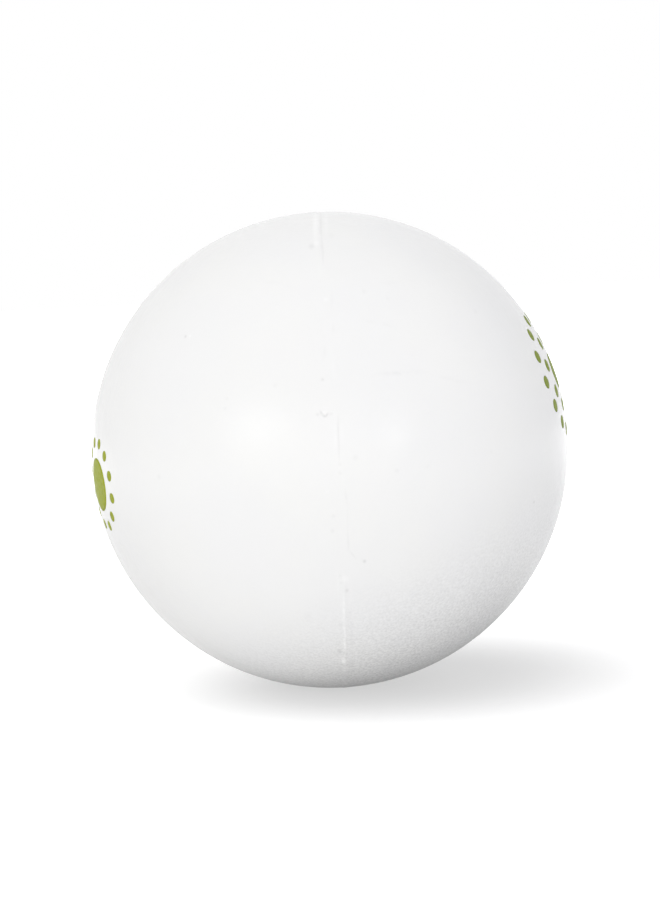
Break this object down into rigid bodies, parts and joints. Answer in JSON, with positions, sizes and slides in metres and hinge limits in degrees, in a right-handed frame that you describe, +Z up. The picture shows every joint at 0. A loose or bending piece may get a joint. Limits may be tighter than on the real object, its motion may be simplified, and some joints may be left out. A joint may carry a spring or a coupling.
{
  "type": "field hockey ball",
  "caption": "Solid white moulded ball for field hockey, with a fine raised mould seam, a cut gate mark and a plain dotted green print on each side.",
  "frame": {"origin": "centre of the ball", "axes": "+X is square to the mould's parting plane, so the seam is the great circle in the YZ plane; +Z is up; -Y is the front, where the gate mark is"},
  "size_m": [0.073, 0.0731, 0.0732],
  "materials": {
    "ball": "white moulded plastic, satin, with a fine mould texture",
    "print_ink": "olive green printed ink, thin and slightly speckled"
  },
  "bodies": {
    "root": {"ball": "ball"}
  },
  "joints": []
}
